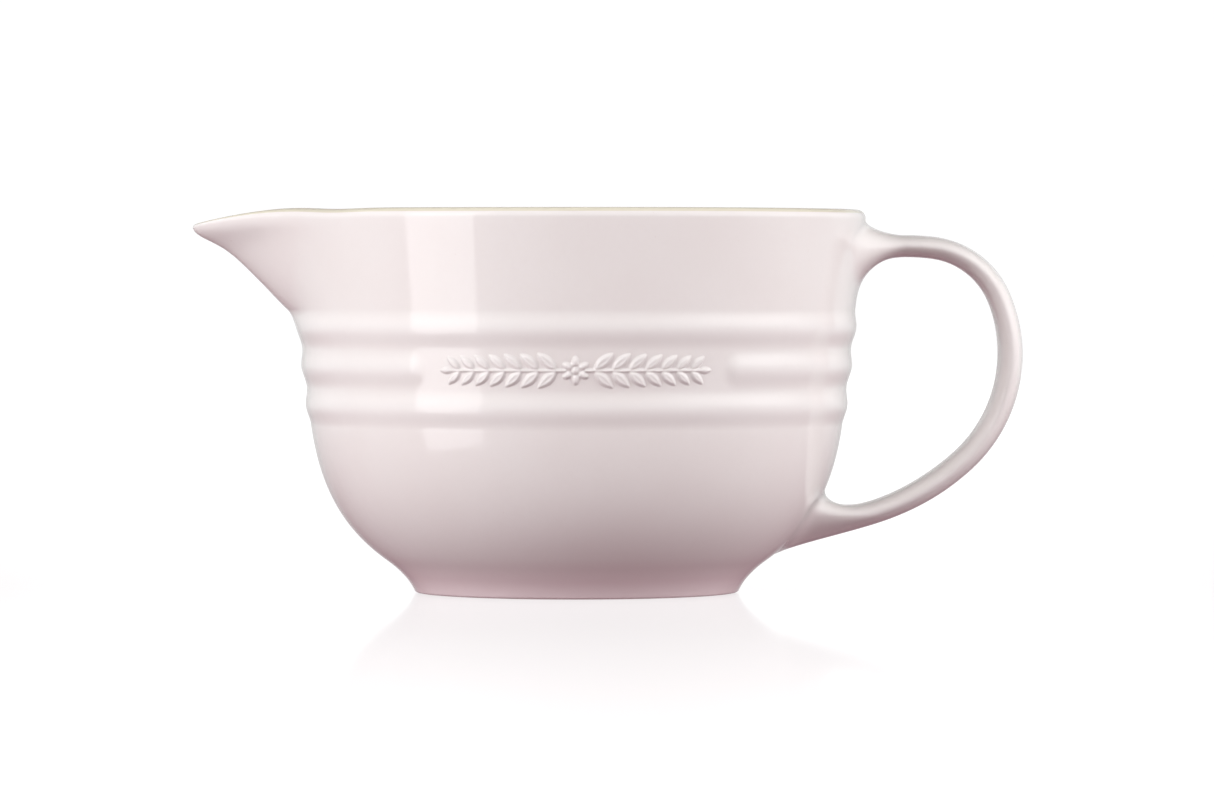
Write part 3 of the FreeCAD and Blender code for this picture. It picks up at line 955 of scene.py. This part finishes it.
# ---------------------------------------------------------------- stage, light and camera, in metres
CENTRE = (CAD_LOW + CAD_HIGH) / 2 / MM
CAMERA_DISTANCE = 2.25
CAMERA_HEIGHT = 0.107
CAMERA_LENS = 195.6
CAMERA_TARGET_Z = 0.064
FLOOR_HALF_SIZE = 6.0
SWEEP_RADIUS = 5.5
SWEEP_FOOT = -0.01
SWEEP_HEIGHT = 4.0
SWEEP_SIDES = 48


def stage_object(name, points, faces, material):
    """Something that only the camera sees, so that it doesn't light or shade the bowl."""
    mesh = bpy.data.meshes.new(name)
    mesh.from_pydata(points, [], faces)
    mesh.materials.append(material)
    piece = bpy.data.objects.new(name, mesh)
    bpy.context.scene.collection.objects.link(piece)
    piece.visible_diffuse = False
    piece.visible_glossy = False
    piece.visible_shadow = False
    return piece


def build_stage():
    """Pale floor, and a white backdrop all round it."""
    half = FLOOR_HALF_SIZE
    corners = [(-half, -half, 0.0), (half, -half, 0.0), (half, half, 0.0), (-half, half, 0.0)]
    floor = stage_object("floor", corners, [(0, 1, 2, 3)], floor_material())
    turns = np.linspace(0, 2 * np.pi, SWEEP_SIDES, endpoint=False)
    ring = [(SWEEP_RADIUS * math.cos(turn), SWEEP_RADIUS * math.sin(turn)) for turn in turns]
    points = [(x, y, z) for z in (SWEEP_FOOT, SWEEP_HEIGHT) for x, y in ring]
    sweep = stage_object("sweep", points, lattice(2, SWEEP_SIDES, False), sweep_material())


def combine(tree, operation, first, second):
    made = node(tree, "ShaderNodeMath", operation=operation)
    tree.links.new(first, made.inputs[0])
    tree.links.new(second, made.inputs[1])
    return made.outputs["Value"]


# level from the front towards the sides, as from, to, level at each; then what is added towards the back
WORLD_FRONT = (-0.65, -0.35, 0.42, 0.28)
WORLD_BACK = ((0.35, 0.65, 0.0, 0.36), (0.993, 0.9965, 0.0, 0.55))
# dim ceiling and a pinkish ground, each as the heights where it starts and where it is complete
WORLD_ABOVE = (0.25, 0.40)
WORLD_ABOVE_COLOUR = (0.30, 0.27, 0.265)
WORLD_BELOW = (-0.05, -0.25)
WORLD_BELOW_COLOUR = (0.293, 0.175, 0.200)
# white panel on the right, with a lower, an upper and a back edge
WORLD_PANEL_SIDE = (0.40, 0.92)
WORLD_PANEL_EDGES = (("Z", 0.0, 0.10), ("Z", 0.42, 0.26), ("Y", 0.45, 0.0))
WORLD_PANEL_COLOUR = (1.15, 1.15, 1.15)


def build_world():
    """Studio surroundings by direction, from the parts of one unit vector towards them."""
    world = bpy.data.worlds.new("studio")
    bpy.context.scene.world = world
    world.use_nodes = True
    tree = world.node_tree
    background = tree.nodes["Background"]
    split = node(tree, "ShaderNodeSeparateXYZ")
    tree.links.new(node(tree, "ShaderNodeTexCoord").outputs["Generated"], split.inputs["Vector"])
    level = ramp(tree, split.outputs["Y"], *WORLD_FRONT)
    for steps in WORLD_BACK:
        level = combine(tree, "ADD", level, ramp(tree, split.outputs["Y"], *steps))
    panel = ramp(tree, split.outputs["X"], *WORLD_PANEL_SIDE)
    for axis, low, high in WORLD_PANEL_EDGES:
        panel = combine(tree, "MULTIPLY", panel, ramp(tree, split.outputs[axis], low, high))
    above = ramp(tree, split.outputs["Z"], *WORLD_ABOVE)
    below = ramp(tree, split.outputs["Z"], *WORLD_BELOW)
    colour = mix_colour(tree, above, level, WORLD_ABOVE_COLOUR)
    colour = mix_colour(tree, below, colour, WORLD_BELOW_COLOUR)
    colour = mix_colour(tree, panel, colour, WORLD_PANEL_COLOUR)
    tree.links.new(colour, background.inputs["Color"])
    background.inputs["Strength"].default_value = 1.0


# azimuth, elevation, distance, width, height, power and whether the glaze mirrors it.
# The key window is what the glaze shows. It stands 20 mm in front of the key softbox, because two lamps
# at exactly one place lose light.
SOFTBOXES = {
    "key_softbox": (-53.7, 8.0, 1.0, 0.52, 1.1, 4.2, False),
    "key_window": (-53.7, 8.0, 0.98, 0.52, 1.1, 2.5, True),
    "left_softbox": (-98.0, 12.0, 1.3, 0.9, 1.0, 5.4, False),
    "front_softbox": (5.0, 38.0, 1.6, 1.2, 0.6, 8.7, False),
    "right_softbox": (60.0, 38.0, 1.3, 1.2, 0.8, 4.7, False),
    "low_right_softbox": (88.0, 6.0, 1.2, 0.8, 0.7, 8.3, False),
}
SOFTBOX_AIM_Z = 0.08
SPOT_HEIGHT = 1.3
SPOT_ANGLE = 7.4
SPOT_BLEND = 0.7
SPOT_RADIUS = 0.05
SPOT_POWER = 20.0


def soft_light(name, azimuth, elevation, distance, width, height, power, mirrored):
    """Rectangular softbox that faces the bowl. Azimuth 0 is in front, towards -Y, positive to the right."""
    lamp = bpy.data.lights.new(name, "AREA")
    lamp.shape = "RECTANGLE"
    lamp.size = width
    lamp.size_y = height
    lamp.energy = power
    turn, rise = math.radians(azimuth), math.radians(elevation)
    light = bpy.data.objects.new(name, lamp)
    light.visible_glossy = mirrored
    place = (
        distance * math.sin(turn) * math.cos(rise),
        -distance * math.cos(turn) * math.cos(rise),
        SOFTBOX_AIM_Z + distance * math.sin(rise),
    )
    light.location = place
    light.rotation_euler = (math.radians(90 - elevation), 0.0, turn)
    bpy.context.scene.collection.objects.link(light)


def hollow_spot():
    """Narrow soft spot from straight above that reaches only the hollow of the bowl."""
    lamp = bpy.data.lights.new("hollow_spot", "SPOT")
    lamp.energy = SPOT_POWER
    lamp.spot_size = math.radians(SPOT_ANGLE)
    lamp.spot_blend = SPOT_BLEND
    lamp.shadow_soft_size = SPOT_RADIUS
    light = bpy.data.objects.new("hollow_spot", lamp)
    light.location = (0.0, 0.0, SPOT_HEIGHT)
    light.visible_glossy = False
    bpy.context.scene.collection.objects.link(light)


def build_lights():
    """The glaze shows the key window as a faint upright patch, and the other lamps only brighten it."""
    for name, values in SOFTBOXES.items():
        soft_light(name, *values)
    hollow_spot()


def build_camera():
    camera_data = bpy.data.cameras.new("camera")
    camera_data.lens = CAMERA_LENS
    camera_data.sensor_width = 36.0
    camera_data.clip_end = 50.0
    camera = bpy.data.objects.new("camera", camera_data)
    camera.location = (CENTRE[0], -CAMERA_DISTANCE, CAMERA_HEIGHT)
    pitch = math.atan2(CAMERA_HEIGHT - CAMERA_TARGET_Z, CAMERA_DISTANCE)
    camera.rotation_euler = (math.pi / 2 - pitch, 0.0, 0.0)
    bpy.context.scene.collection.objects.link(camera)
    bpy.context.scene.camera = camera
    bpy.context.scene.view_settings.view_transform = "Standard"


build_bowl()
build_handle()
build_foot()
build_ornament()
build_stage()
build_world()
build_lights()
build_camera()
